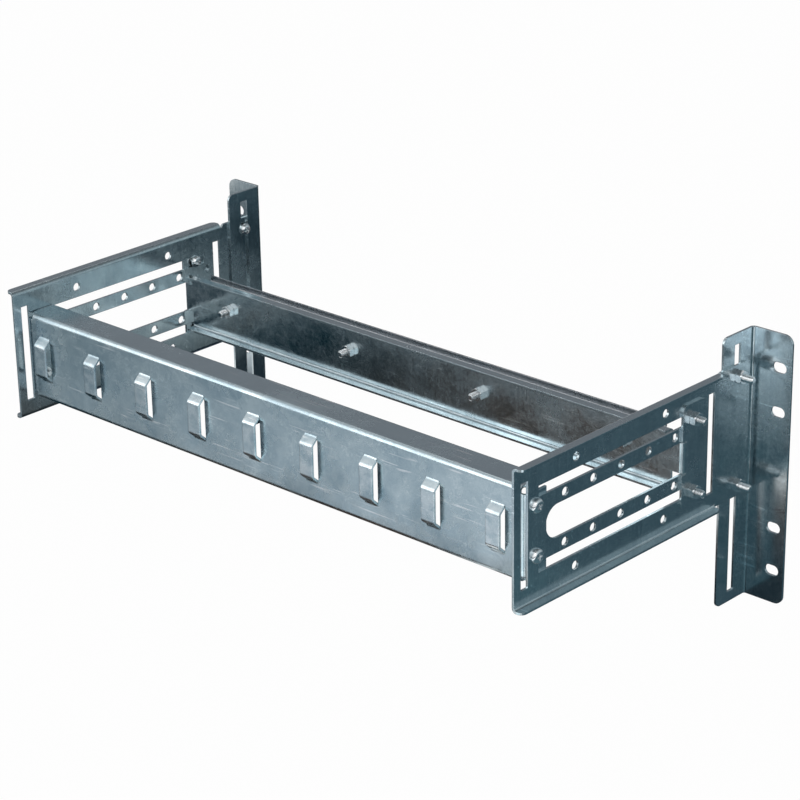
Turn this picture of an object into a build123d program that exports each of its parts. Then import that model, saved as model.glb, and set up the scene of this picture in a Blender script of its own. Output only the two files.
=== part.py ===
from build123d import *
import os

# Rack-mount DIN rail panel, a bolted frame of folded and zinc-plated sheet steel.
# X runs across the rack, +Y points out of the rack's front and +Z is up.
# The origin is the centre of the rack slot pattern, on the face of the two rack
# flanges that bears on the rack's posts.

os.makedirs("parts", exist_ok=True)

# Sheet and folds
sheet_t = 1.5  # thickness of every folded sheet
bend_r = 1.5  # inner radius of every fold in it
relief_w = 1.0  # slit that frees a fold from the sheet beside it

# Rack standard
rack_unit = 44.45  # height of one rack unit
unit_gap = 0.8  # how much less than its units a bracket is high
unit_hole_z = 6.35  # first hole of a rack unit, from the unit's edge
rack_width = 482.6  # over the tips of the rack flanges
rack_slot_inset = 8.75  # middle of a slot, from the tip of its flange
rack_slot_l = 10.0
rack_slot_h = 6.8

# Rack brackets
rack_units = 4
rack_flange_w = 28.6  # from the web's outer face to the flange's tip
rack_web_d = 29.0  # how far the web reaches behind the flange's bearing face
rack_flange_r = 6.0  # corners of the flange
rack_web_r = 4.0  # corners of the web
height_slot_w = 6.0  # long upright slot that sets the height of the frame
height_slot_inset = 7.0  # its ends, from the ends of the bracket
height_slot_y = -15.0

# Side brackets, placed by the centre of their pattern of openings
side_units = 2
side_y = -126.55
side_z = 25.8
side_flange_w = 7.5  # over the web and the flange
side_flange_r = 4.0  # corners of the flanges
side_front = 94.0  # from the pattern's centre to the front edge
side_flange_end = 90.0  # from the pattern's centre to the rear end of the flanges
side_tail_end = 121.0  # from the pattern's centre to the end of the flat tail
side_tail_gap = 0.85  # how much the tail is lower than the bracket at each edge
side_tail_r = 3.0
window_l = 133.4  # round-ended window in the middle of the web
window_h = 20.8
depth_slot_l = 146.0  # level slots that set the depth of the rail
depth_slot_h = 6.6
depth_slot_z = 23.3
end_slot_w = 6.0  # upright slots at both ends of the pattern
end_slot_l = 65.2
end_slot_y = 85.1
hole_d = 5.5  # clearance hole of a screw
row_holes = 7  # holes in each of the two rows
row_pitch = 25.0
row_z = 15.4
outer_hole_y = 40.7
outer_hole_z = 33.7
tail_bolt_inset = 7.9  # bolts to the rack bracket, from the edges of the tail

# Cable bar, the tray with the row of tie bridges
bar_face_y = -209.0  # outer face
bar_h = 58.4
bar_drop = 1.8  # its middle lies this much below the pattern's centre
bar_flange_d = 20.7  # depth of its top and bottom flanges
bar_end_d = 18.0  # depth of its end flanges
bridges = 9
bridge_inset = 17.5  # middle of the outer bridges, from the ends of the bar
bridge_shift = -2.8  # how far the row lies off the middle of the bar
bridge_w = 10.2
bridge_l = 29.0  # over both ramps
bridge_crest_l = 20.4  # flat part between the ramps
bridge_rise = 4.8  # how far it stands off the face
bridge_slit = 0.25  # slit along each side

# Rail carrier, the channel that holds the DIN rail
carrier_web_y = -68.7  # rear face of its web, where the DIN rail lies
carrier_d = 8.1  # over web and flanges
carrier_h = 39.3
carrier_drop = 2.0  # its middle lies this much below the pattern's centre
carrier_gap = 5.7  # between the ends of the channel and the side brackets
neck_gap = 0.7  # above and below the neck that passes through the window of the side bracket
tab_front = 2.3  # how far the tab reaches in front of the web's rear face
tab_d = 22.2
tab_h = 67.0
tab_r = 4.5
tab_bolt_back = 10.0  # bolts of the tab, behind its front edge

# DIN rail, a top-hat section 35 wide and 7.5 deep
din_t = 1.0
din_bend_r = 0.8
din_w = 35.0
din_base_w = 27.0
din_d = 7.5
din_inset = 10.5  # its ends, from the ends of the carrier
din_drop = 0.5
din_slot_l = 12.0
din_slot_h = 6.2
din_bolts = 4
din_bolt_inset = 36.9  # outer bolts, from the ends of the carrier

# Screws and nuts of 5 mm thread, the thread taken off
shank_d = 4.9
head_d = 9.6
head_h = 3.7
head_r = 2.4  # rounding of the head
recess_l = 5.2  # cross recess
recess_w = 1.2
recess_d = 1.8
nut_af = 8.0  # across flats
nut_h = 4.0
nut_bore = 5.0
nut_chamfer = 0.5
bar_screw_l = 10.0
tab_bolt_l = 12.0
rack_bolt_l = 14.0
din_bolt_l = 12.0

# Heights and half widths that follow
rack_h = rack_units * rack_unit - unit_gap
height_slot_l = rack_h - 2 * height_slot_inset
side_h = side_units * rack_unit - unit_gap
rack_out = rack_width / 2 - rack_flange_w  # outer face of a rack web, inner face of a side bracket
rack_in = rack_out - sheet_t
side_out = rack_out + sheet_t
tab_out = side_out + sheet_t
mid_r = bend_r + sheet_t / 2  # fold radius on the middle line of the sheet
fold_r = bend_r + sheet_t  # fold radius on the outside of the sheet
side_tail_h = side_h - 2 * side_tail_gap
tail_bolt_z = side_tail_h / 2 - tail_bolt_inset
bar_z = side_z - bar_drop
carrier_z = side_z - carrier_drop
din_z = side_z - din_drop
bridge_pitch = 2 * (rack_out - bridge_inset) / (bridges - 1)
carrier_l = 2 * (rack_out - carrier_gap)
neck_h = window_h - 2 * neck_gap
din_l = carrier_l - 2 * din_inset
din_bolt_pitch = (carrier_l - 2 * din_bolt_inset) / (din_bolts - 1)
bar_screw_y = side_y - row_pitch * (row_holes - 1) / 2
tab_bolt_y = carrier_web_y - tab_front + tab_bolt_back


def export(piece, label):
    """Names a finished piece and writes it."""
    piece.part.label = label
    export_step(piece.part, f"parts/{label}.step")


def pan_screw(label, seat, length):
    """Pan-head screw with a cross recess: its head lies on the seat, its shank behind it."""
    axis = Axis(seat.origin, seat.z_dir)
    with BuildPart() as screw:
        with BuildSketch(seat):
            Circle(head_d / 2)
        extrude(amount=head_h)
        fillet(screw.edges().group_by(axis)[-1], radius=head_r)
        with BuildSketch(seat.offset(head_h)):
            Rectangle(recess_l, recess_w)
            Rectangle(recess_w, recess_l)
        extrude(amount=-recess_d, mode=Mode.SUBTRACT)
        with BuildSketch(seat):
            Circle(shank_d / 2)
        extrude(amount=-length)
    export(screw, label)


def hex_nut(label, seat):
    """Hexagon nut with chamfered corners that lies on the seat."""
    with BuildPart() as nut:
        with BuildSketch(seat):
            Circle(RegularPolygon(nut_af / 2, 6, major_radius=False, mode=Mode.PRIVATE).radius)
        extrude(amount=nut_h)
        chamfer(nut.edges(), length=nut_chamfer)
        with BuildSketch(seat):
            RegularPolygon(nut_af / 2, 6, major_radius=False)
        extrude(amount=nut_h, mode=Mode.INTERSECT)
        with BuildSketch(seat):
            Circle(nut_bore / 2)
        extrude(amount=nut_h, mode=Mode.SUBTRACT)
    export(nut, label)


# Rack bracket: an angle with the rack slots in its flange and one long slot in its web
with BuildPart() as right_rack_bracket:
    with BuildSketch(Plane.XY.offset(-rack_h / 2)):
        with BuildLine():
            FilletPolyline(
                (rack_out - sheet_t / 2, -rack_web_d),
                (rack_out - sheet_t / 2, sheet_t / 2),
                (rack_width / 2, sheet_t / 2),
                radius=mid_r,
            )
        trace(line_width=sheet_t)
    extrude(amount=rack_h)
    flange_corners = right_rack_bracket.edges().filter_by(Axis.Y).group_by(Axis.X)[-1]
    fillet(flange_corners, radius=rack_flange_r)
    web_corners = right_rack_bracket.edges().filter_by(Axis.X).group_by(Axis.Y)[0]
    fillet(web_corners, radius=rack_web_r)
    with BuildSketch(Plane.XZ):
        with Locations((rack_width / 2 - rack_slot_inset, 0)):
            with GridLocations(0, 2 * (rack_unit - unit_hole_z), 1, 2):
                SlotOverall(rack_slot_l, rack_slot_h)
            with GridLocations(0, 3 * rack_unit, 1, 2):
                SlotOverall(rack_slot_l, rack_slot_h)
    extrude(amount=-sheet_t, mode=Mode.SUBTRACT)
    with BuildSketch(Plane.YZ.offset(rack_in)):
        with Locations((height_slot_y, 0)):
            Rectangle(height_slot_w, height_slot_l)
    extrude(amount=sheet_t, mode=Mode.SUBTRACT)

with BuildPart() as left_rack_bracket:
    mirror(right_rack_bracket.part, about=Plane.YZ)

# Side bracket: a shallow channel whose web carries the pattern of slots and holes
side_face = Plane(origin=(rack_out, side_y, side_z), x_dir=(0, 1, 0), z_dir=(1, 0, 0))
side_end = Plane(origin=(0, side_y - side_front, side_z), x_dir=(1, 0, 0), z_dir=(0, -1, 0))
tail_bolt_y = height_slot_y - side_y
with BuildPart() as right_side_bracket:
    with BuildSketch(side_end):
        with BuildLine():
            FilletPolyline(
                (rack_out + side_flange_w, side_h / 2 - sheet_t / 2),
                (rack_out + sheet_t / 2, side_h / 2 - sheet_t / 2),
                (rack_out + sheet_t / 2, -side_h / 2 + sheet_t / 2),
                (rack_out + side_flange_w, -side_h / 2 + sheet_t / 2),
                radius=mid_r,
            )
        trace(line_width=sheet_t)
    extrude(amount=-(side_front + side_flange_end))
    flange_corners = right_side_bracket.edges().filter_by(Axis.Z).group_by(Axis.X)[-1]
    fillet(flange_corners, radius=side_flange_r)
    with BuildSketch(side_face):
        with Locations((side_flange_end, 0)):
            Rectangle(relief_w, side_h - 2 * fold_r, align=(Align.MIN, Align.CENTER))
    extrude(amount=sheet_t)
    with BuildSketch(side_face) as tail:
        with Locations((side_flange_end + relief_w, 0)):
            Rectangle(
                side_tail_end - side_flange_end - relief_w,
                side_tail_h,
                align=(Align.MIN, Align.CENTER),
            )
        fillet(tail.vertices().group_by(Axis.Y)[-1], radius=side_tail_r)
    extrude(amount=sheet_t)
    with BuildSketch(side_face):
        SlotOverall(window_l, window_h)
        with GridLocations(0, 2 * depth_slot_z, 1, 2):
            Rectangle(depth_slot_l, depth_slot_h)
        with GridLocations(2 * end_slot_y, 0, 2, 1):
            Rectangle(end_slot_w, end_slot_l)
        with GridLocations(row_pitch, 2 * row_z, row_holes, 2):
            Circle(hole_d / 2)
        with GridLocations(2 * outer_hole_y, 2 * outer_hole_z, 2, 2):
            Circle(hole_d / 2)
        with Locations((tail_bolt_y, 0)):
            with GridLocations(0, 2 * tail_bolt_z, 1, 2):
                Circle(hole_d / 2)
    extrude(amount=sheet_t, mode=Mode.SUBTRACT)

with BuildPart() as left_side_bracket:
    mirror(right_side_bracket.part, about=Plane.YZ)

# Cable bar: a tray with folded edges all round and nine bridges lanced out of its face
bar_mid_y = bar_face_y + sheet_t / 2
bar_notch = fold_r + relief_w  # square notch in each corner, where two folds meet
bar_channel_l = 2 * (rack_out - bar_notch)
bar_flange_l = 2 * (rack_out - relief_w)
bar_flat_h = bar_h - 2 * bar_notch
bar_end = Plane(origin=(-bar_channel_l / 2, 0, bar_z), x_dir=(0, 1, 0), z_dir=(1, 0, 0))
bar_front = Plane(origin=(0, bar_face_y, bar_z), x_dir=(1, 0, 0), z_dir=(0, -1, 0))
bridge_half = bridge_l / 2
bridge_root = bridge_half + sheet_t  # where the strip has come back into the face
with BuildPart() as cable_bar:
    with BuildSketch(bar_end):
        with BuildLine():
            FilletPolyline(
                (bar_face_y + bar_flange_d, bar_h / 2 - sheet_t / 2),
                (bar_mid_y, bar_h / 2 - sheet_t / 2),
                (bar_mid_y, -bar_h / 2 + sheet_t / 2),
                (bar_face_y + bar_flange_d, -bar_h / 2 + sheet_t / 2),
                radius=mid_r,
            )
        trace(line_width=sheet_t)
    extrude(amount=bar_channel_l)
    with BuildSketch(Plane.XY.offset(bar_z - bar_h / 2), Plane.XY.offset(bar_z + bar_h / 2 - sheet_t)):
        with Locations((0, bar_face_y + bar_notch)):
            Rectangle(bar_flange_l, bar_flange_d - bar_notch, align=(Align.CENTER, Align.MIN))
    extrude(amount=sheet_t)
    with BuildSketch(Plane.XY.offset(bar_z - bar_flat_h / 2)):
        with BuildLine():
            FilletPolyline(
                (-rack_out + sheet_t / 2, bar_face_y + bar_end_d),
                (-rack_out + sheet_t / 2, bar_mid_y),
                (rack_out - sheet_t / 2, bar_mid_y),
                (rack_out - sheet_t / 2, bar_face_y + bar_end_d),
                radius=mid_r,
            )
        trace(line_width=sheet_t)
    extrude(amount=bar_flat_h)
    with BuildSketch(bar_front):
        with Locations((bridge_shift, 0)):
            with GridLocations(bridge_pitch, 0, bridges, 1):
                Rectangle(bridge_w + 2 * bridge_slit, 2 * (bridge_half + sheet_t / 2))
    extrude(amount=-sheet_t, mode=Mode.SUBTRACT)
    for number in range(bridges):
        bridge_x = bridge_shift + (number - (bridges - 1) / 2) * bridge_pitch
        bridge_side = Plane(
            origin=(bridge_x - bridge_w / 2, bar_mid_y, bar_z), x_dir=(0, 1, 0), z_dir=(1, 0, 0)
        )
        with BuildSketch(bridge_side):
            with BuildLine():
                FilletPolyline(
                    (0, -bridge_root),
                    (0, -bridge_half),
                    (-bridge_rise, -bridge_crest_l / 2),
                    (-bridge_rise, bridge_crest_l / 2),
                    (0, bridge_half),
                    (0, bridge_root),
                    radius=mid_r,
                )
            trace(line_width=sheet_t)
        extrude(amount=bridge_w)
    with BuildSketch(Plane(origin=(-rack_out, bar_screw_y, side_z), x_dir=(0, 1, 0), z_dir=(1, 0, 0))):
        with GridLocations(0, 2 * row_z, 1, 2):
            Circle(hole_d / 2)
    extrude(amount=2 * rack_out, mode=Mode.SUBTRACT)

# Rail carrier: a channel whose ends pass through the side windows on narrow necks
# and fold back into tabs on the outer faces of the side brackets
carrier_mid_y = carrier_web_y - sheet_t / 2
carrier_front_y = carrier_web_y - carrier_d
tab_front_y = carrier_web_y - tab_front
neck_end_y = carrier_web_y + bend_r
carrier_end = Plane(origin=(-carrier_l / 2, 0, carrier_z), x_dir=(0, 1, 0), z_dir=(1, 0, 0))
with BuildPart() as rail_carrier:
    with BuildSketch(carrier_end):
        with BuildLine():
            FilletPolyline(
                (carrier_front_y, carrier_h / 2 - sheet_t / 2),
                (carrier_mid_y, carrier_h / 2 - sheet_t / 2),
                (carrier_mid_y, -carrier_h / 2 + sheet_t / 2),
                (carrier_front_y, -carrier_h / 2 + sheet_t / 2),
                radius=mid_r,
            )
        trace(line_width=sheet_t)
    extrude(amount=carrier_l)
    with BuildSketch(Plane(origin=(-tab_out, 0, side_z), x_dir=(0, 1, 0), z_dir=(1, 0, 0))) as tabs:
        with Locations((tab_front_y, 0)):
            Rectangle(tab_d, tab_h, align=(Align.MIN, Align.CENTER))
        fillet(tabs.vertices(), radius=tab_r)
        with Locations((tab_front_y, 0)):
            Rectangle(
                neck_end_y - tab_front_y,
                neck_h + 2 * relief_w,
                align=(Align.MIN, Align.CENTER),
                mode=Mode.SUBTRACT,
            )
        with Locations((tab_bolt_y, 0)):
            with GridLocations(0, 2 * depth_slot_z, 1, 2):
                Circle(hole_d / 2, mode=Mode.SUBTRACT)
    extrude(amount=sheet_t)
    mirror(rail_carrier.solids().sort_by(Axis.X)[0], about=Plane.YZ)
    with BuildSketch(Plane.XY.offset(side_z - neck_h / 2)):
        with BuildLine():
            FilletPolyline(
                (-tab_out + sheet_t / 2, neck_end_y + relief_w),
                (-tab_out + sheet_t / 2, carrier_mid_y),
                (tab_out - sheet_t / 2, carrier_mid_y),
                (tab_out - sheet_t / 2, neck_end_y + relief_w),
                radius=mid_r,
            )
        trace(line_width=sheet_t)
    extrude(amount=neck_h)
    with BuildSketch(Plane(origin=(0, carrier_web_y, din_z), x_dir=(1, 0, 0), z_dir=(0, -1, 0))):
        with GridLocations(din_bolt_pitch, 0, din_bolts, 1):
            Circle(hole_d / 2)
    extrude(amount=sheet_t, mode=Mode.SUBTRACT)

# DIN rail: a top-hat section on the carrier's rear face, open towards the rack's front
din_lip_y = din_d - din_t / 2
din_wall_z = din_base_w / 2 - din_t / 2
with BuildPart() as din_rail:
    with BuildSketch(
        Plane(origin=(-din_l / 2, carrier_web_y, din_z), x_dir=(0, 1, 0), z_dir=(1, 0, 0))
    ):
        with BuildLine():
            FilletPolyline(
                (din_lip_y, din_w / 2),
                (din_lip_y, din_wall_z),
                (din_t / 2, din_wall_z),
                (din_t / 2, -din_wall_z),
                (din_lip_y, -din_wall_z),
                (din_lip_y, -din_w / 2),
                radius=din_bend_r + din_t / 2,
            )
        trace(line_width=din_t)
    extrude(amount=din_l)
    with BuildSketch(Plane(origin=(0, carrier_web_y, din_z), x_dir=(1, 0, 0), z_dir=(0, -1, 0))):
        with GridLocations(din_bolt_pitch, 0, din_bolts, 1):
            SlotOverall(din_slot_l, din_slot_h)
    extrude(amount=-din_t, mode=Mode.SUBTRACT)

export(left_rack_bracket, "left_rack_bracket")
export(right_rack_bracket, "right_rack_bracket")
export(left_side_bracket, "left_side_bracket")
export(right_side_bracket, "right_side_bracket")
export(cable_bar, "cable_bar")
export(rail_carrier, "rail_carrier")
export(din_rail, "din_rail")

# Screws and nuts, two above each other on each side
for side, out in (("left", -1), ("right", 1)):
    for level, up in (("top", 1), ("bottom", -1)):
        outward = (out, 0, 0)
        inward = (-out, 0, 0)
        end = f"{side}_{level}"
        bar_screw_z = side_z + up * row_z
        tab_bolt_z = side_z + up * depth_slot_z
        rack_bolt_z = side_z + up * tail_bolt_z
        head_seat = Plane(origin=(out * side_out, bar_screw_y, bar_screw_z), z_dir=outward)
        pan_screw(f"bar_screw_{end}", head_seat, bar_screw_l)
        nut_seat = Plane(origin=(out * rack_in, bar_screw_y, bar_screw_z), z_dir=inward)
        hex_nut(f"bar_nut_{end}", nut_seat)
        head_seat = Plane(origin=(out * rack_out, tab_bolt_y, tab_bolt_z), z_dir=inward)
        pan_screw(f"tab_bolt_{end}", head_seat, tab_bolt_l)
        nut_seat = Plane(origin=(out * tab_out, tab_bolt_y, tab_bolt_z), z_dir=outward)
        hex_nut(f"tab_nut_{end}", nut_seat)
        head_seat = Plane(origin=(out * rack_in, height_slot_y, rack_bolt_z), z_dir=inward)
        pan_screw(f"rack_bolt_{end}", head_seat, rack_bolt_l)
        nut_seat = Plane(origin=(out * side_out, height_slot_y, rack_bolt_z), z_dir=outward)
        hex_nut(f"rack_nut_{end}", nut_seat)

# Bolts that hold the DIN rail, from left to right, with their nuts in the carrier
for number in range(din_bolts):
    bolt_x = (number - (din_bolts - 1) / 2) * din_bolt_pitch
    head_seat = Plane(origin=(bolt_x, carrier_web_y + din_t, din_z), z_dir=(0, 1, 0))
    pan_screw(f"din_bolt_{number + 1}", head_seat, din_bolt_l)
    nut_seat = Plane(origin=(bolt_x, carrier_web_y - sheet_t, din_z), z_dir=(0, -1, 0))
    hex_nut(f"din_nut_{number + 1}", nut_seat)
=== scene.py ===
import logging
import math
from collections.abc import Callable
from dataclasses import dataclass
from enum import Enum
from typing import ClassVar

import bmesh
import bpy
from mathutils import Matrix, Vector


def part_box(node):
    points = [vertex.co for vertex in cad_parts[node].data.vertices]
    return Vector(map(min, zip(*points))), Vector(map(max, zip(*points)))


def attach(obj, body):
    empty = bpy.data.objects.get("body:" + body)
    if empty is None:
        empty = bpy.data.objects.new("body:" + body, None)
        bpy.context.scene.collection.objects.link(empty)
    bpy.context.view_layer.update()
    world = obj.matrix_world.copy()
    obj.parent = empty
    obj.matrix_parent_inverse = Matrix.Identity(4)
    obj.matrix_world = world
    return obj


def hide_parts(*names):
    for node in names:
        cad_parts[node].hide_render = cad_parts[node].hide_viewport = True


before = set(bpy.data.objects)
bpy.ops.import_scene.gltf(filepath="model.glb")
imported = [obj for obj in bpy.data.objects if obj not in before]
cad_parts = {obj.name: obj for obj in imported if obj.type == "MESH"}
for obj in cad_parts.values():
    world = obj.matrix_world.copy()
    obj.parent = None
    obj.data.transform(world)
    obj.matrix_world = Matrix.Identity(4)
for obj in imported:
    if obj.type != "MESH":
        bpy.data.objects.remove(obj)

# Every length is in metres, in the frame of the CAD part: X across the rack, Y to its front, Z up.
log = logging.getLogger("rail_panel")
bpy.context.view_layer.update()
Pair = tuple[float, float]
Triple = tuple[float, float, float]
Socket = bpy.types.NodeSocket
Value = Socket | float


class Plating(Enum):
    """The zinc platings of the panel, by the slot that each has in the record."""

    SHEET = "zinc_sheet"
    RAIL = "rail_steel"
    SCREW = "screw_zinc"


class HeadPlace(Enum):
    """Where the heads of a kind of screw are: outside or inside the frame, or at the rack's front."""

    OUTSIDE = "outside"
    INSIDE = "inside"
    FRONT = "front"


@dataclass
class Wiring:
    """Adds nodes to a tree and joins them, so that a pattern reads from top to bottom.

    Args:
        tree: the node tree that it works on.
    """

    tree: bpy.types.NodeTree

    def node(self, kind: str, **values: object) -> bpy.types.Node:
        """Adds a node and sets its properties.

        Args:
            kind: Blender's name of the node type.
            values: properties of the node.

        Returns:
            The new node.
        """
        made = self.tree.nodes.new(kind)
        for key, value in values.items():
            setattr(made, key, value)
        return made

    def feed(self, value: object, socket: Socket) -> None:
        """Links a socket to another, or sets its number, vector or colour.

        Args:
            value: the socket to link from, or the value to set.
            socket: the input that gets it.
        """
        if isinstance(value, Socket):
            self.tree.links.new(value, socket)
        elif isinstance(value, tuple) and socket.type == "RGBA":
            socket.default_value = (*value, 1.0)
        else:
            socket.default_value = value

    def calc(self, operation: str, first: Value, second: Value = 0.0, clamp: bool = False) -> Socket:
        """Adds a Math node.

        Args:
            operation: the node's operation.
            first: a socket or a number.
            second: a socket or a number.
            clamp: whether the result is kept from 0 to 1.

        Returns:
            The node's result.
        """
        made = self.node("ShaderNodeMath", operation=operation, use_clamp=clamp)
        self.feed(first, made.inputs[0])
        self.feed(second, made.inputs[1])
        return made.outputs[0]

    def add_up(self, values: dict[str, Socket], shares: dict[str, float]) -> Socket:
        """Adds up values, each times its share.

        Args:
            values: the values by name.
            shares: the share of each value that counts.

        Returns:
            The sum.
        """
        total: Value = 0.0
        for label, share in shares.items():
            total = self.calc("ADD", total, self.calc("MULTIPLY", values[label], share))
        return total

    def place(self, vector: Socket, scale: Triple, turn: Triple = (0.0, 0.0, 0.0)) -> Socket:
        """Turns and stretches coordinates.

        Args:
            vector: the coordinates.
            scale: the stretch along each axis.
            turn: the turn about each axis, in radians.

        Returns:
            The new coordinates.
        """
        made = self.node("ShaderNodeMapping")
        self.feed(vector, made.inputs["Vector"])
        self.feed(turn, made.inputs["Rotation"])
        self.feed(scale, made.inputs["Scale"])
        return made.outputs["Vector"]

    def noise(self, vector: Socket, scale: Value, detail: float, bend: float = 0.0) -> Socket:
        """Adds a noise texture.

        Args:
            vector: the coordinates that it reads.
            scale: its scale, per metre.
            detail: its octaves.
            bend: how much the pattern is bent.

        Returns:
            The noise value.
        """
        made = self.node("ShaderNodeTexNoise")
        self.feed(vector, made.inputs["Vector"])
        self.feed(scale, made.inputs["Scale"])
        self.feed(detail, made.inputs["Detail"])
        self.feed(bend, made.inputs["Distortion"])
        return made.outputs["Fac"]

    def ramp(self, value: Socket, span: Pair, results: Pair = (0.0, 1.0)) -> Socket:
        """Adds a Map Range node that clamps.

        Args:
            value: the value to map.
            span: the values between which the result changes.
            results: the result at each end of the span.

        Returns:
            The mapped value.
        """
        made = self.node("ShaderNodeMapRange", clamp=True)
        self.feed(value, made.inputs["Value"])
        for label, number in zip(("From Min", "From Max", "To Min", "To Max"), (*span, *results)):
            self.feed(number, made.inputs[label])
        return made.outputs["Result"]

    def bump(self, height: Socket, distance: float, strength: Value, normal: Socket) -> Socket:
        """Adds a Bump node.

        Args:
            height: the height, as a share of the distance.
            distance: the height that a share of 1 stands for.
            strength: how much of it shows.
            normal: the normal that it starts from.

        Returns:
            The bumped normal.
        """
        made = self.node("ShaderNodeBump")
        self.feed(height, made.inputs["Height"])
        self.feed(distance, made.inputs["Distance"])
        self.feed(strength, made.inputs["Strength"])
        self.feed(normal, made.inputs["Normal"])
        return made.outputs["Normal"]

    def blend(self, share: Value, first: object, second: object) -> Socket:
        """Adds a colour mix.

        Args:
            share: share of the second colour.
            first: a colour or a colour socket.
            second: a colour or a colour socket.

        Returns:
            The mixed colour.
        """
        made = self.node("ShaderNodeMix", data_type="RGBA")
        self.feed(share, made.inputs[0])
        self.feed(first, made.inputs[6])
        self.feed(second, made.inputs[7])
        return made.outputs[2]


class Pattern:
    """A shader node group with named inputs and outputs that several finishes share.

    Attributes:
        name: name of the group.
        inputs: each number that it takes, with its default.
        outputs: names of the values that it puts out.
    """

    name: ClassVar[str]
    inputs: ClassVar[dict[str, float]]
    outputs: ClassVar[tuple[str, ...]]

    def draw(self, wires: Wiring, inside: bpy.types.Node) -> tuple[Socket, ...]:
        """Wires the pattern.

        Args:
            wires: the group's tree.
            inside: its input node.

        Returns:
            One socket for each output.
        """
        raise NotImplementedError

    def build(self) -> bpy.types.ShaderNodeTree:
        """Makes the group.

        Returns:
            The node tree of the group.
        """
        tree = bpy.data.node_groups.new(self.name, "ShaderNodeTree")
        tree.interface.new_socket("Vector", in_out="INPUT", socket_type="NodeSocketVector")
        for label, value in self.inputs.items():
            socket = tree.interface.new_socket(label, in_out="INPUT", socket_type="NodeSocketFloat")
            socket.default_value = value
        for label in self.outputs:
            tree.interface.new_socket(label, in_out="OUTPUT", socket_type="NodeSocketFloat")
        wires = Wiring(tree)
        inside = wires.node("NodeGroupInput")
        outside = wires.node("NodeGroupOutput")
        for label, value in zip(self.outputs, self.draw(wires, inside)):
            wires.feed(value, outside.inputs[label])
        return tree

    @classmethod
    def use(cls, wires: Wiring, vector: Socket, **values: float) -> bpy.types.Node:
        """Places the group in a material.

        Args:
            wires: the material's tree.
            vector: coordinates for it.
            values: its inputs, with underscores for blanks.

        Returns:
            The group node.
        """
        made = wires.node("ShaderNodeGroup", node_tree=bpy.data.node_groups[cls.name])
        wires.feed(vector, made.inputs["Vector"])
        for label, value in values.items():
            wires.feed(value, made.inputs[label.replace("_", " ").title()])
        return made


@dataclass(frozen=True)
class Mottle(Pattern):
    """The cloudy tone of plated sheet: soft patches, crystals, fine grain and pale veins.

    Its inputs are the scales of these four, per metre.

    Args:
        patch_bend: how much the patches are bent.
        patch_span: noise between which a patch fades in.
        grain_span: noise between which the grain fades in.
        vein_bend: how much the veins are bent.
        vein_span: distance from the noise's middle over which a vein fades in.
        region_scale: scale of the regions that have veins, per metre.
        region_span: noise between which such a region fades in.
    """

    name: ClassVar[str] = "plating_mottle"
    inputs: ClassVar[dict[str, float]] = {
        "Patch Scale": 60.0,
        "Crystal Scale": 500.0,
        "Grain Scale": 1400.0,
        "Vein Scale": 200.0,
    }
    outputs: ClassVar[tuple[str, ...]] = ("Patch", "Crystal", "Grain", "Vein")

    patch_bend: float = 0.6
    patch_span: Pair = (0.34, 0.66)
    grain_span: Pair = (0.3, 0.7)
    vein_bend: float = 1.2
    vein_span: Pair = (0.03, 0.0)
    region_scale: float = 75.0
    region_span: Pair = (0.45, 0.6)

    def draw(self, wires: Wiring, inside: bpy.types.Node) -> tuple[Socket, ...]:
        """Wires the four parts of the tone.

        Args:
            wires: the group's tree.
            inside: its input node.

        Returns:
            Patch, Crystal, Grain and Vein, each from 0 to 1.
        """
        where = inside.outputs["Vector"]
        cloud = wires.noise(where, inside.outputs["Patch Scale"], detail=4.0, bend=self.patch_bend)
        crystal = wires.node("ShaderNodeTexVoronoi", feature="F1")
        wires.feed(where, crystal.inputs["Vector"])
        wires.feed(inside.outputs["Crystal Scale"], crystal.inputs["Scale"])
        split = wires.node("ShaderNodeSeparateColor")
        wires.feed(crystal.outputs["Color"], split.inputs["Color"])
        grain = wires.noise(where, inside.outputs["Grain Scale"], detail=2.0)
        winding = wires.noise(where, inside.outputs["Vein Scale"], detail=2.0, bend=self.vein_bend)
        contour = wires.calc("ABSOLUTE", wires.calc("SUBTRACT", winding, 0.5))
        region = wires.ramp(wires.noise(where, self.region_scale, detail=1.0), self.region_span)
        vein = wires.calc("MULTIPLY", wires.ramp(contour, self.vein_span), region)
        return (
            wires.ramp(cloud, self.patch_span),
            split.outputs["Red"],
            wires.ramp(grain, self.grain_span),
            vein,
        )


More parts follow.
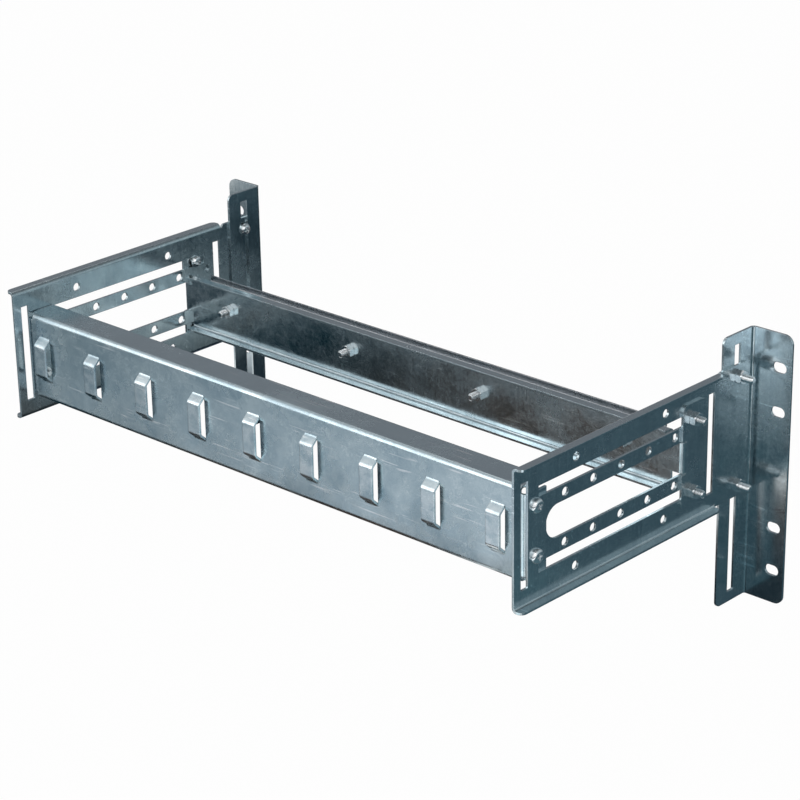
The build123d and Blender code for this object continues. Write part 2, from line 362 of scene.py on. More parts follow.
@dataclass(frozen=True)
class HandlingMarks(Pattern):
    """The marks of rolling and handling: thin broken scratches, wiped smears and upright streaks.

    Its input is the scale of the smears, per metre.

    Args:
        scratch_ways: turn about X and Z, in radians, and scale across, per metre, of each set of scratches.
        scratch_lean: turn about Y as a share of that turn.
        scratch_along: scale along a scratch, per metre.
        scratch_span: noise between which a scratch fades in.
        broken_scale: scale of the gaps that break the scratches, per metre.
        broken_span: noise between which a gap ends.
        smear_bend: how much the smears are bent.
        smear_span: noise between which a smear fades in.
        streak_stretch: scale of the streaks along each axis, per metre.
        streak_span: noise between which a streak fades in.
    """

    name: ClassVar[str] = "handling_marks"
    inputs: ClassVar[dict[str, float]] = {"Smear Scale": 14.0}
    outputs: ClassVar[tuple[str, ...]] = ("Scratch", "Smear", "Streak")

    scratch_ways: tuple[Pair, ...] = ((0.35, 420.0), (-0.6, 520.0), (1.2, 470.0))
    scratch_lean: float = 0.7
    scratch_along: float = 22.0
    scratch_span: Pair = (0.69, 0.75)
    broken_scale: float = 40.0
    broken_span: Pair = (0.46, 0.58)
    smear_bend: float = 1.4
    smear_span: Pair = (0.42, 0.66)
    streak_stretch: Triple = (900.0, 900.0, 30.0)
    streak_span: Pair = (0.25, 0.75)

    def draw(self, wires: Wiring, inside: bpy.types.Node) -> tuple[Socket, ...]:
        """Wires the three kinds of marks.

        Args:
            wires: the group's tree.
            inside: its input node.

        Returns:
            Scratch and Smear, each from 0 to 1, and Streak, from -0.5 to 0.5.
        """
        where = inside.outputs["Vector"]
        scratch: Value = 0.0
        for turn, across in self.scratch_ways:
            turned = wires.place(
                where, (self.scratch_along, across, across), (turn, self.scratch_lean * turn, turn)
            )
            line = wires.ramp(wires.noise(turned, 1.0, detail=1.0), self.scratch_span)
            scratch = wires.calc("MAXIMUM", scratch, line)
        broken = wires.ramp(wires.noise(where, self.broken_scale, detail=2.0), self.broken_span)
        smear = wires.noise(where, inside.outputs["Smear Scale"], detail=5.0, bend=self.smear_bend)
        streak = wires.noise(wires.place(where, self.streak_stretch), 1.0, detail=2.0)
        return (
            wires.calc("MULTIPLY", scratch, broken),
            wires.ramp(smear, self.smear_span),
            wires.ramp(streak, self.streak_span, (-0.5, 0.5)),
        )


@dataclass(frozen=True)
class PressMarks(Pattern):
    """What the press leaves on the bar: level dashes at two heights and crests that are rubbed bright.

    Its inputs are the height of the bar's middle, the distance from there to each row of dashes, and the
    place of the bar's outer face.

    Args:
        band_span: distance from a row's height over which its dashes fade in.
        dash_stretch: scale of the dashes along each axis, per metre.
        dash_span: noise between which a dash fades in.
        gap_stretch: scale of the gaps between dashes along each axis, per metre.
        gap_span: noise between which a gap ends.
        proud_span: height above the outer face over which the rubbing fades in.
        rub_scale: scale of the rubbed spots, per metre.
        rub_span: noise between which such a spot fades in.
    """

    name: ClassVar[str] = "press_marks"
    inputs: ClassVar[dict[str, float]] = {"Middle": 0.024, "Half Span": 0.0145, "Face": -0.209}
    outputs: ClassVar[tuple[str, ...]] = ("Dash", "Rub")

    band_span: Pair = (0.004, 0.0005)
    dash_stretch: Triple = (60.0, 60.0, 1500.0)
    dash_span: Pair = (0.62, 0.68)
    gap_stretch: Triple = (45.0, 45.0, 250.0)
    gap_span: Pair = (0.5, 0.56)
    proud_span: Pair = (0.001, 0.004)
    rub_scale: float = 170.0
    rub_span: Pair = (0.35, 0.6)

    def draw(self, wires: Wiring, inside: bpy.types.Node) -> tuple[Socket, ...]:
        """Wires the dashes and the rubbed crests.

        Args:
            wires: the group's tree.
            inside: its input node.

        Returns:
            Dash and Rub, each from 0 to 1.
        """
        where = inside.outputs["Vector"]
        split = wires.node("ShaderNodeSeparateXYZ")
        wires.feed(where, split.inputs["Vector"])
        height = wires.calc("ABSOLUTE", wires.calc("SUBTRACT", split.outputs["Z"], inside.outputs["Middle"]))
        off = wires.calc("ABSOLUTE", wires.calc("SUBTRACT", height, inside.outputs["Half Span"]))
        dash = wires.ramp(wires.noise(wires.place(where, self.dash_stretch), 1.0, detail=1.0), self.dash_span)
        gap = wires.ramp(wires.noise(wires.place(where, self.gap_stretch), 1.0, detail=1.0), self.gap_span)
        dashes = wires.calc("MULTIPLY", wires.calc("MULTIPLY", dash, gap), wires.ramp(off, self.band_span))
        above = wires.calc("SUBTRACT", inside.outputs["Face"], split.outputs["Y"])
        spots = wires.ramp(wires.noise(where, self.rub_scale, detail=3.0), self.rub_span)
        return dashes, wires.calc("MULTIPLY", wires.ramp(above, self.proud_span), spots)


@dataclass
class Skin:
    """What the colour, the roughness and the relief of a material are wired from.

    Args:
        wires: the material's tree.
        where: the piece's own coordinates.
        parts: the patterns' values by name.
        upward: how much the surface faces up, from -1 to 1.
        calm: mask of the level faces, which are even.
        lively: mask of the other faces.
        line: mask of bare metal: scratches, dashes and rubbed crests.
    """

    wires: Wiring
    where: Socket
    parts: dict[str, Socket]
    upward: Socket
    calm: Socket
    lively: Socket
    line: Socket


@dataclass(frozen=True)
class ZincFinish:
    """A zinc-plated surface: its colours and how it shines.

    Args:
        name: name of the material.
        plating: the record's plating that it shows.
        pale: colour of the bright patches.
        deep: colour of the dull patches.
        roughness: middle roughness.
        spread: how much the roughness varies.
        patch_scale: size of the patches, per metre.
        crystal_scale: size of the crystals, per metre.
        grain_scale: size of the fine grain, per metre.
        vein_scale: size of the pale veins, per metre.
        depth: height of the grain.
        wave: height of the sheet's slow waves.
        worn_r: radius to which its cut edges are worn.
        brushed: share of the upright rolling streaks.
        pressed: whether the press has left its dashes and rubbed the bridges bright.

    Attributes:
        middle_tone: tone to which level faces are evened.
        level_span: upward look over which a face becomes level.
        bend_span: upward look over which a fold begins.
        bend_roughness: roughness that a fold adds.
        mean_share: share of the spread that is taken off the middle roughness.
        scratch_share: share of bare metal in a scratch.
        dash_share: share of bare metal in a dash of the press.
        rub_share: share of bare metal on a rubbed crest.
        bare_gain: how many times brighter bare metal is than the pale colour.
        wave_scale: scale of the slow waves, per metre.
        grain_strengths: strength of the grain on upright and on level faces.
    """

    name: str
    plating: Plating
    pale: Triple
    deep: Triple
    roughness: float
    spread: float
    patch_scale: float = 60.0
    crystal_scale: float = 500.0
    grain_scale: float = 1400.0
    vein_scale: float = 200.0
    depth: float = 0.000003
    wave: float = 0.00012
    worn_r: float = 0.0004
    brushed: float = 0.0
    pressed: bool = False

    middle_tone: ClassVar[float] = 0.5
    level_span: ClassVar[Pair] = (0.7, 0.98)
    bend_span: ClassVar[Pair] = (0.2, 0.5)
    bend_roughness: ClassVar[float] = 0.14
    mean_share: ClassVar[float] = 0.25
    scratch_share: ClassVar[float] = 0.75
    dash_share: ClassVar[float] = 0.8
    rub_share: ClassVar[float] = 0.35
    bare_gain: ClassVar[float] = 1.4
    wave_scale: ClassVar[float] = 22.0
    grain_strengths: ClassVar[Pair] = (0.4, 0.1)

    def material(self) -> bpy.types.Material:
        """Builds the material.

        Returns:
            The new material, with Base Color, Roughness and Normal from patterns.
        """
        made = bpy.data.materials.new(self.name)
        made.use_nodes = True
        shader = made.node_tree.nodes["Principled BSDF"]
        wires = Wiring(made.node_tree)
        skin = self.skin(wires)
        wires.feed(self.colour(skin), shader.inputs["Base Color"])
        wires.feed(self.gloss(skin), shader.inputs["Roughness"])
        wires.feed(1.0, shader.inputs["Metallic"])
        wires.feed(self.relief(skin), shader.inputs["Normal"])
        log.info("%s is the finish for %s", self.name, self.plating.value)
        return made

    def skin(self, wires: Wiring) -> Skin:
        """Places the patterns and makes the masks.

        Args:
            wires: the material's tree.

        Returns:
            The patterns and masks of this finish.
        """
        coords = wires.node("ShaderNodeTexCoord")
        where = coords.outputs["Object"]
        mottle = Mottle.use(
            wires,
            where,
            patch_scale=self.patch_scale,
            crystal_scale=self.crystal_scale,
            grain_scale=self.grain_scale,
            vein_scale=self.vein_scale,
        )
        marks = HandlingMarks.use(wires, where)
        parts = {label: mottle.outputs[label] for label in Mottle.outputs}
        parts |= {label: marks.outputs[label] for label in HandlingMarks.outputs}
        line = wires.calc("MULTIPLY", parts["Scratch"], self.scratch_share)
        if self.pressed:
            press = PressMarks.use(wires, where)
            for label, share in (("Dash", self.dash_share), ("Rub", self.rub_share)):
                line = wires.calc("MAXIMUM", line, wires.calc("MULTIPLY", press.outputs[label], share))
        normal = wires.node("ShaderNodeSeparateXYZ")
        wires.feed(coords.outputs["Normal"], normal.inputs["Vector"])
        upward = normal.outputs["Z"]
        calm = wires.ramp(wires.calc("ABSOLUTE", upward), self.level_span)
        return Skin(wires, where, parts, upward, calm, wires.calc("SUBTRACT", 1.0, calm), line)

    def colour(self, skin: Skin) -> Socket:
        """Wires the colour: a tone between deep and pale, even on level faces, with bare lines on it.

        Args:
            skin: the patterns and masks.

        Returns:
            The base colour.
        """
        wires = skin.wires
        shares = {"Patch": 0.5, "Crystal": 0.2, "Grain": 0.2, "Vein": 0.45, "Streak": self.brushed}
        tone = wires.calc("ADD", wires.add_up(skin.parts, shares), 0.0, clamp=True)
        swing = wires.calc("MULTIPLY", wires.calc("SUBTRACT", tone, self.middle_tone), skin.lively)
        tone = wires.calc("ADD", swing, self.middle_tone)
        bare = tuple(min(1.0, self.bare_gain * value) for value in self.pale)
        return wires.blend(skin.line, wires.blend(tone, self.deep, self.pale), bare)

    def gloss(self, skin: Skin) -> Socket:
        """Wires the roughness: smooth patches, dull smears and duller folds.

        Args:
            skin: the patterns and masks.

        Returns:
            The roughness.
        """
        wires = skin.wires
        shares = {"Patch": -0.5, "Smear": 0.6, "Crystal": 0.4, "Streak": 0.4 * self.brushed}
        varied = wires.calc("MULTIPLY", wires.add_up(skin.parts, shares), self.spread)
        bend = wires.calc("MULTIPLY", wires.ramp(skin.upward, self.bend_span), skin.lively)
        rough = wires.calc("ADD", varied, wires.calc("MULTIPLY", bend, self.bend_roughness))
        return wires.calc("ADD", rough, self.roughness - self.mean_share * self.spread, clamp=True)

    def relief(self, skin: Skin) -> Socket:
        """Wires the normal: worn edges, slow waves, and fine grain with scratches, fainter on level faces.

        Args:
            skin: the patterns and masks.

        Returns:
            The normal.
        """
        wires = skin.wires
        edge = wires.node("ShaderNodeBevel", samples=4)
        wires.feed(self.worn_r, edge.inputs["Radius"])
        waves = wires.noise(skin.where, self.wave_scale, detail=1.0)
        wavy = wires.bump(waves, self.wave, 1.0, edge.outputs["Normal"])
        strength = wires.ramp(skin.calm, (0.0, 1.0), self.grain_strengths)
        return wires.bump(wires.calc("SUBTRACT", skin.parts["Grain"], skin.line), self.depth, strength, wavy)


SHEET_FINISH = ZincFinish(
    "blue_zinc_sheet",
    Plating.SHEET,
    pale=(0.62, 0.69, 0.71),
    deep=(0.41, 0.49, 0.53),
    roughness=0.21,
    spread=0.13,
    brushed=0.4,
)
BAR_FINISH = ZincFinish(
    "blue_zinc_bar",
    Plating.SHEET,
    pale=(0.71, 0.79, 0.81),
    deep=(0.36, 0.47, 0.53),
    roughness=0.24,
    spread=0.2,
    patch_scale=32.0,
    crystal_scale=260.0,
    worn_r=0.0009,
    pressed=True,
)
RAIL_FINISH = ZincFinish(
    "clear_zinc_rail",
    Plating.RAIL,
    pale=(0.5, 0.52, 0.54),
    deep=(0.4, 0.42, 0.44),
    roughness=0.28,
    spread=0.1,
    wave=0.00005,
)
SCREW_FINISH = ZincFinish(
    "bright_zinc_screw",
    Plating.SCREW,
    pale=(0.92, 0.94, 0.95),
    deep=(0.7, 0.74, 0.76),
    roughness=0.13,
    spread=0.08,
    patch_scale=300.0,
    crystal_scale=2500.0,
    grain_scale=4000.0,
    depth=0.000002,
    wave=0.0,
)


def dress_node(node: str, material: bpy.types.Material) -> None:
    """Gives a CAD node its material.

    Args:
        node: name of the node.
        material: the finish that it gets.
    """
    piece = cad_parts[node]
    piece.data.materials.clear()
    piece.data.materials.append(material)
    log.info("%s is dressed in %s", node, material.name)


@dataclass
class Sheets:
    """The folded sheets and the rail: the frame brings their real shape, and they get their plating.

    Args:
        folded: nodes of the brackets and the carrier, which share one finish.
        bar: node of the cable bar.
        rail: node of the DIN rail.
    """

    folded: tuple[str, ...] = (
        "left_rack_bracket",
        "right_rack_bracket",
        "left_side_bracket",
        "right_side_bracket",
        "rail_carrier",
    )
    bar: str = "cable_bar"
    rail: str = "din_rail"

    def dress(self) -> None:
        """Gives every sheet and the rail their finish."""
        sheet = SHEET_FINISH.material()
        for node in self.folded:
            dress_node(node, sheet)
        dress_node(self.bar, BAR_FINISH.material())
        dress_node(self.rail, RAIL_FINISH.material())


def deselect() -> None:
    """Leaves nothing selected, which the next operator counts on."""
    bpy.ops.object.select_all(action="DESELECT")


def pick(keep: Callable[[Vector], bool]) -> None:
    """Selects the vertices of the object in edit mode by their place.

    Args:
        keep: says of a vertex's place whether it is selected.
    """
    mesh = bmesh.from_edit_mesh(bpy.context.object.data)
    mesh.select_mode = {"VERT"}
    for vertex in mesh.verts:
        vertex.select = keep(vertex.co)
    mesh.select_flush_mode()
    bmesh.update_edit_mesh(bpy.context.object.data)


@dataclass
class PanScrew:
    """A pan-head screw with a cross recess and a rolled thread, modelled head up with its seat at the origin.

    Args:
        length: from the seat to the tip.
        head_r: radius of the head.
        head_h: height of the head.
        head_round: radius of the head's rounding.
        head_sides: sides of the head's circle.
        round_steps: steps of the rounding.
        recess_l: length of each arm of the recess.
        recess_w: width of each arm at the top.
        recess_d: depth of the recess.
        recess_over: how much taller the cutting arm is than the recess.
        recess_narrow: size of an arm's bottom as a share of its top.
        thread_r: radius of the thread.
        thread_steps: steps in one turn of the thread.
        core_r: radius of the core under the thread.
        core_sides: sides of the core's circle.
        pitch: rise of the thread in one turn.
        sink: how deep the thread's foot lies in the core.
        plain: length of the neck, which has no thread.
        lead: length of the tip, which has no thread.
        tip_share: share of the lead that is chamfered.
        smooth_angle: widest angle that is shaded smooth, in degrees.
    """

    length: float
    head_r: float
    head_h: float = 0.0028
    head_round: float = 0.0024
    head_sides: int = 40
    round_steps: int = 7
    recess_l: float = 0.0046
    recess_w: float = 0.001
    recess_d: float = 0.0013
    recess_over: float = 0.0004
    recess_narrow: float = 0.55
    thread_r: float = 0.00245
    thread_steps: int = 24
    core_r: float = 0.00205
    core_sides: int = 32
    pitch: float = 0.0008
    sink: float = 0.0001
    plain: float = 0.001
    lead: float = 0.0007
    tip_share: float = 0.7
    smooth_angle: float = 35.0

    def build(self, name: str) -> bpy.types.Object:
        """Models the screw.

        Args:
            name: name of the object.

        Returns:
            The finished screw.
        """
        head = self.build_head()
        parts = [head, self.build_core(), self.build_thread()]
        deselect()
        for part in parts:
            part.select_set(True)
        bpy.context.view_layer.objects.active = head
        bpy.ops.object.join()
        screw = bpy.context.object
        screw.name = name
        bpy.ops.object.shade_smooth_by_angle(angle=math.radians(self.smooth_angle))
        return screw

    def build_head(self) -> bpy.types.Object:
        """Models the rounded head and cuts the cross recess.

        Returns:
            The head.
        """
        deselect()
        bpy.ops.mesh.primitive_cylinder_add(
            vertices=self.head_sides,
            radius=self.head_r,
            depth=self.head_h,
            location=(0.0, 0.0, self.head_h / 2),
        )
        head = bpy.context.object
        bpy.ops.object.transform_apply(location=True, rotation=True, scale=True)
        bpy.ops.object.mode_set(mode="EDIT")
        pick(lambda place: place.z > self.head_h / 2)
        bpy.ops.mesh.bevel(offset=self.head_round, segments=self.round_steps, affect="EDGES")
        bpy.ops.object.mode_set(mode="OBJECT")
        for long_x in (True, False):
            arm = self.build_arm(long_x)
            cut = head.modifiers.new("recess", "BOOLEAN")
            cut.operation = "DIFFERENCE"
            cut.object = arm
            deselect()
            head.select_set(True)
            bpy.context.view_layer.objects.active = head
            bpy.ops.object.modifier_apply(modifier=cut.name)
            bpy.data.objects.remove(arm)
        return head

    def build_arm(self, long_x: bool) -> bpy.types.Object:
        """Models one arm of the recess, which narrows towards its bottom.

        Args:
            long_x: whether the arm lies along X, and else along Y.

        Returns:
            The body to cut away.
        """
        middle = self.head_h - self.recess_d / 2
        deselect()
        bpy.ops.mesh.primitive_cube_add(size=1.0, location=(0.0, 0.0, middle + self.recess_over / 2))
        arm = bpy.context.object
        size = (self.recess_l, self.recess_w) if long_x else (self.recess_w, self.recess_l)
        arm.scale = (*size, self.recess_d + self.recess_over)
        bpy.ops.object.transform_apply(location=True, rotation=True, scale=True)
        bpy.ops.object.mode_set(mode="EDIT")
        pick(lambda place: place.z < middle)
        bpy.ops.transform.resize(value=(self.recess_narrow, self.recess_narrow, 1.0))
        bpy.ops.object.mode_set(mode="OBJECT")
        return arm

    def build_core(self) -> bpy.types.Object:
        """Models the shank under the thread, with its plain neck and its tapered tip.

        Returns:
            The core.
        """
        deselect()
        bpy.ops.mesh.primitive_cylinder_add(
            vertices=self.core_sides,
            radius=self.core_r,
            depth=self.length,
            location=(0.0, 0.0, -self.length / 2),
        )
        core = bpy.context.object
        bpy.ops.object.transform_apply(location=True, rotation=True, scale=True)
        bpy.ops.object.mode_set(mode="EDIT")
        pick(lambda place: place.z < -self.length / 2)
        bpy.ops.mesh.bevel(offset=self.lead * self.tip_share, segments=1, affect="EDGES")
        bpy.ops.object.mode_set(mode="OBJECT")
        return core

    def build_thread(self) -> bpy.types.Object:
        """Models the thread: one ridge turned about the axis, with both ends cut square and closed.

        Returns:
            The thread.
        """
        deselect()
        bpy.ops.mesh.primitive_circle_add(
            vertices=3, radius=self.core_r, fill_type="NOTHING", location=(0.0, 0.0, 0.0)
        )
        thread = bpy.context.object
        bpy.ops.object.transform_apply(location=True, rotation=True, scale=True)
        foot = -self.length
        inner = self.core_r - self.sink
        crest = (self.thread_r, 0.0, foot + self.pitch / 2)
        ridge = ((inner, 0.0, foot), crest, (inner, 0.0, foot + self.pitch))
        for vertex, place in zip(thread.data.vertices, ridge):
            vertex.co = place
        bpy.ops.object.mode_set(mode="EDIT")
        pick(lambda place: place.x < self.core_r)
        bpy.ops.mesh.delete(type="EDGE")
        bpy.ops.object.mode_set(mode="OBJECT")
        turn = thread.modifiers.new("turns", "SCREW")
        turn.axis = "Z"
        turn.screw_offset = self.pitch
        turn.iterations = math.ceil((self.length - self.plain) / self.pitch)
        turn.steps = self.thread_steps
        turn.render_steps = self.thread_steps
        turn.use_merge_vertices = True
        bpy.ops.object.modifier_apply(modifier=turn.name)
        bpy.ops.object.mode_set(mode="EDIT")
        for height, below in ((-self.length + self.lead, True), (-self.plain, False)):
            bpy.ops.mesh.select_all(action="SELECT")
            bpy.ops.mesh.bisect(
                plane_co=(0.0, 0.0, height),
                plane_no=(0.0, 0.0, 1.0),
                use_fill=True,
                clear_inner=below,
                clear_outer=not below,
            )
        bpy.ops.mesh.select_all(action="SELECT")
        bpy.ops.mesh.normals_make_consistent(inside=False)
        bpy.ops.object.mode_set(mode="OBJECT")
        return thread


@dataclass(frozen=True)
class ScrewKind:
    """One kind of screw on the panel.

    Args:
        start: what the names of its CAD nodes start with.
        length: from the seat to the tip.
        head_r: radius of the head.
        head_place: where its heads are.
    """

    start: str
    length: float
    head_r: float
    head_place: HeadPlace

    def head_way(self, node: str) -> Vector:
        """Finds the way that a screw's head faces.

        Args:
            node: the screw's CAD node.

        Returns:
            The direction from its tip to its head.
        """
        if self.head_place is HeadPlace.FRONT:
            return Vector((0.0, 1.0, 0.0))
        outward = Vector((-1.0 if "_left_" in node else 1.0, 0.0, 0.0))
        return outward if self.head_place is HeadPlace.OUTSIDE else -outward


@dataclass
class Fasteners:
    """The screws, which get their threads and recesses, and the nuts, which keep their CAD shape.

    Args:
        kinds: the kinds of screws.
        nut_mark: what the names of the nuts hold.
        solid_head_h: height of a CAD screw's head, which ends at the seat.
        spin_step: angle between the ways that a recess may be turned, in degrees.
        spin_ways: number of those ways.
    """

    kinds: tuple[ScrewKind, ...] = (
        ScrewKind("bar_screw", length=0.010, head_r=0.0047, head_place=HeadPlace.OUTSIDE),
        ScrewKind("tab_bolt", length=0.012, head_r=0.004, head_place=HeadPlace.INSIDE),
        ScrewKind("rack_bolt", length=0.014, head_r=0.004, head_place=HeadPlace.INSIDE),
        ScrewKind("din_bolt", length=0.012, head_r=0.0047, head_place=HeadPlace.FRONT),
    )
    nut_mark: str = "_nut_"
    solid_head_h: float = 0.0037
    spin_step: float = 37.0
    spin_ways: int = 10

    def build(self) -> None:
        """Models one screw of each kind and sets a copy of it in every place."""
        finish = SCREW_FINISH.material()
        for kind in self.kinds:
            model = PanScrew(kind.length, kind.head_r).build(f"{kind.start}_model")
            for node in sorted(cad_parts):
                if node.startswith(kind.start):
                    self.place(model, node, kind.head_way(node), finish)
            bpy.data.objects.remove(model)
        for node in sorted(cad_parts):
            if self.nut_mark in node:
                dress_node(node, finish)

    def place(self, model: bpy.types.Object, node: str, way: Vector, finish: bpy.types.Material) -> None:
        """Sets a copy of a screw in the place of its CAD node.

        Args:
            model: the screw to copy.
            node: the CAD node that it stands for.
            way: the direction from its tip to its head.
            finish: its material.
        """
        low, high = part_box(node)
        reach = (high - low) * 0.5
        top = (low + high) * 0.5 + Vector(a * b for a, b in zip(way, reach))
        seat = top - way * self.solid_head_h
        turn = Vector((0.0, 0.0, 1.0)).rotation_difference(way).to_matrix().to_4x4()
        spin = Matrix.Rotation(math.radians(self.spin_step * (sum(map(ord, node)) % self.spin_ways)), 4, "Z")
        screw = bpy.data.objects.new(f"{node}_threaded", model.data.copy())
        bpy.context.collection.objects.link(screw)
        screw.data.transform(Matrix.Translation(seat) @ turn @ spin)
        screw.data.materials.clear()
        screw.data.materials.append(finish)
        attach(screw, "root")
        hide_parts(node)
        log.info("%s stands for %s", screw.name, node)


@dataclass(frozen=True)
class Lamp:
    """A soft area lamp.

    Args:
        name: name of the lamp.
        place: its middle.
        size: length of its sides.
        power: its power in watts.
    """

    name: str
    place: Triple
    size: float
    power: float

    def build(self, aim: Triple) -> None:
        """Makes the lamp, which the camera doesn't see.

        Args:
            aim: the point that it faces.
        """
        data = bpy.data.lights.new(self.name, "AREA")
        data.shape = "RECTANGLE"
        data.size = self.size
        data.size_y = self.size
        data.energy = self.power
        lamp = bpy.data.objects.new(self.name, data)
        bpy.context.collection.objects.link(lamp)
        lamp.location = self.place
        lamp.rotation_euler = (Vector(aim) - Vector(self.place)).to_track_quat("-Z", "Y").to_euler()
        lamp.visible_camera = False


@dataclass(frozen=True)
class Card:
    """A studio card that shapes what the metal mirrors. Only mirrored light sees it.

    Args:
        name: name of the card.
        corners: its four corners in turn.
        near: its colour along the edge from the first corner to the second.
        far: its colour along the edge across from that one.
    """

    name: str
    corners: tuple[Triple, Triple, Triple, Triple]
    near: Triple
    far: Triple

    @classmethod
    def lying(cls, name: str, x: Pair, y: Pair, z: float, near: Triple, far: Triple) -> "Card":
        """Describes a level card with square corners.

        Args:
            name: name of the card.
            x: its two edges across, the near one first.
            y: its other two edges.
            z: its height.
            near: its colour at the first edge across.
            far: its colour at the second edge across.

        Returns:
            The card.
        """
        return cls(name, ((x[0], y[0], z), (x[0], y[1], z), (x[1], y[1], z), (x[1], y[0], z)), near, far)

    def build(self) -> None:
        """Makes the card, shaded from its near edge to its far edge."""
        deselect()
        bpy.ops.mesh.primitive_plane_add(size=1.0, location=(0.0, 0.0, 0.0))
        card = bpy.context.object
        card.name = self.name
        # A plane's vertices go in rows, and the corners go round.
        for vertex, place in zip(card.data.vertices, (self.corners[i] for i in (0, 1, 3, 2))):
            vertex.co = place
        material = bpy.data.materials.new(self.name)
        material.use_nodes = True
        wires = Wiring(material.node_tree)
        split = wires.node("ShaderNodeSeparateXYZ")
        wires.feed(wires.node("ShaderNodeTexCoord").outputs["UV"], split.inputs["Vector"])
        glow = wires.node("ShaderNodeEmission")
        wires.feed(wires.blend(split.outputs["Y"], self.near, self.far), glow.inputs["Color"])
        wires.feed(glow.outputs["Emission"], material.node_tree.nodes["Material Output"].inputs["Surface"])
        card.data.materials.append(material)
        card.visible_camera = False
        card.visible_diffuse = False
        card.visible_shadow = False
        card.visible_transmission = False


# Cards that lie under and around the panel: its upright faces mirror them, as the camera looks down.
TABLE_CARDS = (
    Card.lying(
        "left_table_card", x=(-1.3, -0.27), y=(-0.12, -0.297), z=-0.07,
        near=(0.2, 0.22, 0.26), far=(0.0, 0.02, 0.03),
    ),
    Card.lying(
        "front_table_card", x=(-0.27, -0.06), y=(-0.12, -0.297), z=-0.07,
        near=(0.0, 0.02, 0.03), far=(0.07, 0.06, 0.055),
    ),
    Card.lying(
        "carrier_end_card", x=(-0.14, 0.08), y=(-0.12, -0.4), z=-0.12,
        near=(0.05, 0.04, 0.035), far=(0.06, 0.045, 0.04),
    ),
    Card(
        "left_front_card",
        ((-0.6, -0.297, -0.07), (-0.6, -1.1, -0.07), (0.1, -1.1, -0.07), (0.1, -0.305, -0.07)),
        near=(0.06, 0.11, 0.13),
        far=(0.64, 0.7, 0.76),
    ),
    Card.lying(
        "front_glow_card", x=(0.08, 0.3), y=(-0.3, -0.6), z=-0.125,
        near=(1.2, 1.35, 1.4), far=(1.2, 1.35, 1.4),
    ),
    Card.lying(
        "left_back_table_card", x=(-1.3, -0.2), y=(0.12, -0.12), z=-0.12,
        near=(0.26, 0.28, 0.31), far=(0.14, 0.16, 0.19),
    ),
    Card.lying(
        "back_table_card", x=(-0.2, 0.24), y=(1.5, -0.12), z=-0.12,
        near=(0.01, 0.02, 0.03), far=(0.02, 0.035, 0.045),
    ),
    Card.lying(
        "right_table_card", x=(0.24, 1.6), y=(1.5, 0.0), z=-0.12,
        near=(0.06, 0.105, 0.13), far=(0.1, 0.15, 0.18),
    ),
    Card.lying(
        "right_front_table_card", x=(0.24, 1.6), y=(0.0, -0.345), z=-0.12,
        near=(0.09, 0.16, 0.19), far=(0.05, 0.1, 0.12),
    ),
    Card.lying(
        "corner_table_card", x=(0.1, 0.24), y=(-0.12, -0.3), z=-0.12,
        near=(0.07, 0.06, 0.06), far=(0.05, 0.08, 0.1),
    ),
    Card.lying(
        "flange_glow_card", x=(0.45, 0.7), y=(-0.365, -0.55), z=-0.12,
        near=(1.7, 1.8, 1.9), far=(1.7, 1.8, 1.9),
    ),
    Card(
        "front_right_card",
        ((0.12, -0.6, -0.13), (0.12, -2.2, -0.13), (2.4, -2.2, -0.13), (2.4, -0.335, -0.13)),
        near=(0.1, 0.12, 0.13),
        far=(0.1, 0.12, 0.13),
    ),
    Card.lying(
        "inner_side_card", x=(-0.04, 0.14), y=(0.22, -0.03), z=-0.115,
        near=(0.0, 0.0, 0.0), far=(0.85, 1.0, 1.05),
    ),
)
# Cards above and around the panel: its level faces and its folds mirror them.
SKY_CARDS = (
    Card.lying(
        "overhead_card", x=(-0.6, 1.8), y=(-0.8, 1.6), z=1.5,
        near=(0.15, 0.17, 0.18), far=(0.15, 0.17, 0.18),
    ),
    Card(
        "left_sky_card",
        ((-1.3, -1.15, 0.02), (-1.3, -1.15, 1.1), (-0.65, -1.15, 1.1), (-0.65, -1.15, 0.02)),
        near=(0.45, 0.48, 0.5),
        far=(4.2, 4.25, 4.3),
    ),
    Card(
        "upper_left_card",
        ((-1.2, 0.2, 0.0), (-1.2, 0.2, 2.6), (-1.2, -1.7, 2.6), (-1.2, -1.7, 1.6)),
        near=(0.5, 0.52, 0.54),
        far=(0.8, 0.82, 0.84),
    ),
    Card(
        "backdrop_card",
        ((-2.2, 0.0, -0.2), (-2.2, 0.0, 1.6), (0.4, 2.0, 1.6), (0.4, 2.0, -0.2)),
        near=(0.25, 0.26, 0.28),
        far=(0.22, 0.23, 0.25),
    ),
    Card(
        "right_backdrop_card",
        ((0.4, 2.0, -0.2), (0.4, 2.0, 1.6), (2.2, 0.1, 1.6), (2.2, 0.1, -0.2)),
        near=(0.3, 0.36, 0.39),
        far=(0.5, 0.6, 0.64),
    ),
)


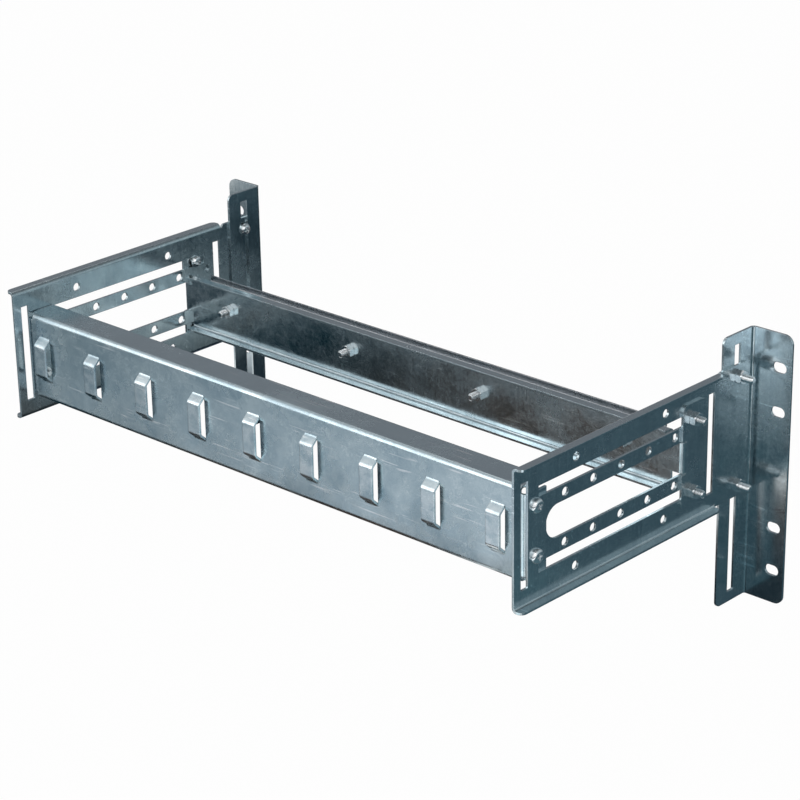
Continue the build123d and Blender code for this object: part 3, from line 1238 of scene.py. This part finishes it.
@dataclass
class Studio:
    """Floor, cards, lamps, world and camera.

    Args:
        floor_z: height of the floor.
        floor_size: length of the floor's sides.
        floor_white: share of plain white in the floor where it is seen, and the rest shows the shadow.
        floor_colour: the floor's own colour.
        floor_roughness: the floor's roughness.
        soft_colour: the world's colour as a light.
        seen_colour: the world's colour where it is seen.
        camera_at: place of the camera.
        azimuth: the camera's angle about Z, in degrees.
        elevation: the camera's angle above the level, in degrees.
        roll: the camera's turn about its own axis, in degrees.
        lens: focal length, in millimetres.
        sensor: width of the sensor, in millimetres.
        clip_start: nearest distance that the camera sees.
        aim: the point that the lamps face.
        lamps: the lamps.
        cards: the cards.
    """

    floor_z: float = -0.45
    floor_size: float = 12.0
    floor_white: float = 0.95
    floor_colour: Triple = (0.8, 0.8, 0.8)
    floor_roughness: float = 0.9
    soft_colour: Triple = (0.9, 0.9, 0.9)
    seen_colour: Triple = (1.0, 1.0, 1.0)
    camera_at: Triple = (1.0678, -1.21, 0.6479)
    azimuth: float = 43.46
    elevation: float = 22.35
    roll: float = -1.04
    lens: float = 118.4
    sensor: float = 36.0
    clip_start: float = 0.01
    aim: Triple = (0.0, -0.1, 0.0)
    lamps: tuple[Lamp, ...] = (
        Lamp("front_left_softbox", (-1.2, -1.35, 0.7), size=1.5, power=4.5),
        Lamp("right_softbox", (1.5, -0.9, 0.9), size=0.7, power=2.5),
    )
    cards: tuple[Card, ...] = TABLE_CARDS + SKY_CARDS

    def build(self) -> None:
        """Makes the whole studio."""
        self.build_floor()
        for card in self.cards:
            card.build()
        for lamp in self.lamps:
            lamp.build(self.aim)
        self.build_world()
        self.build_camera()
        bpy.context.scene.view_settings.view_transform = "Standard"
        log.info("the studio has %d cards and %d lamps", len(self.cards), len(self.lamps))

    def seen(self, wires: Wiring) -> Socket:
        """Makes the mask of the rays that see the white background.

        Args:
            wires: the tree that it goes in.

        Returns:
            1 for camera, mirrored and transmitted rays, and 0 for the others.
        """
        path = wires.node("ShaderNodeLightPath")
        mirrored = wires.calc("MAXIMUM", path.outputs["Is Glossy Ray"], path.outputs["Is Transmission Ray"])
        return wires.calc("MAXIMUM", path.outputs["Is Camera Ray"], mirrored)

    def build_floor(self) -> None:
        """Makes the pale floor, which shows as white with a soft shadow."""
        deselect()
        bpy.ops.mesh.primitive_plane_add(size=self.floor_size, location=(0.0, 0.0, self.floor_z))
        floor = bpy.context.object
        floor.name = "floor"
        bpy.ops.object.transform_apply(location=True, rotation=True, scale=True)
        material = bpy.data.materials.new("pale_floor")
        material.use_nodes = True
        wires = Wiring(material.node_tree)
        shader = material.node_tree.nodes["Principled BSDF"]
        wires.feed(self.floor_colour, shader.inputs["Base Color"])
        wires.feed(self.floor_roughness, shader.inputs["Roughness"])
        white = wires.node("ShaderNodeEmission")
        mixed = wires.node("ShaderNodeMixShader")
        wires.feed(wires.calc("MULTIPLY", self.seen(wires), self.floor_white), mixed.inputs["Fac"])
        wires.feed(shader.outputs["BSDF"], mixed.inputs[1])
        wires.feed(white.outputs["Emission"], mixed.inputs[2])
        wires.feed(mixed.outputs["Shader"], material.node_tree.nodes["Material Output"].inputs["Surface"])
        floor.data.materials.append(material)

    def build_world(self) -> None:
        """Makes the world white where it is seen, and a soft pale light elsewhere."""
        world = bpy.data.worlds.new("studio")
        bpy.context.scene.world = world
        world.use_nodes = True
        wires = Wiring(world.node_tree)
        soft = world.node_tree.nodes["Background"]
        wires.feed(self.soft_colour, soft.inputs["Color"])
        white = wires.node("ShaderNodeBackground")
        wires.feed(self.seen_colour, white.inputs["Color"])
        mixed = wires.node("ShaderNodeMixShader")
        wires.feed(self.seen(wires), mixed.inputs["Fac"])
        wires.feed(soft.outputs["Background"], mixed.inputs[1])
        wires.feed(white.outputs["Background"], mixed.inputs[2])
        wires.feed(mixed.outputs["Shader"], world.node_tree.nodes["World Output"].inputs["Surface"])

    def build_camera(self) -> None:
        """Makes the camera at the photograph's viewing angle."""
        data = bpy.data.cameras.new("camera")
        data.lens = self.lens
        data.sensor_width = self.sensor
        data.clip_start = self.clip_start
        camera = bpy.data.objects.new("camera", data)
        bpy.context.collection.objects.link(camera)
        turn = math.radians(self.azimuth)
        tilt = math.radians(self.elevation)
        back = Vector((math.sin(turn) * math.cos(tilt), -math.cos(turn) * math.cos(tilt), math.sin(tilt)))
        level = (-back).to_track_quat("-Z", "Y").to_matrix().to_4x4()
        roll = Matrix.Rotation(math.radians(self.roll), 4, "Z")
        camera.matrix_world = Matrix.Translation(self.camera_at) @ level @ roll
        bpy.context.scene.camera = camera


def main() -> None:
    """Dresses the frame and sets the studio."""
    logging.basicConfig(level=logging.INFO, format="%(name)s: %(message)s")
    for pattern in (Mottle(), HandlingMarks(), PressMarks()):
        pattern.build()
    Sheets().dress()
    Fasteners().build()
    Studio().build()


if __name__ == "__main__":
    main()
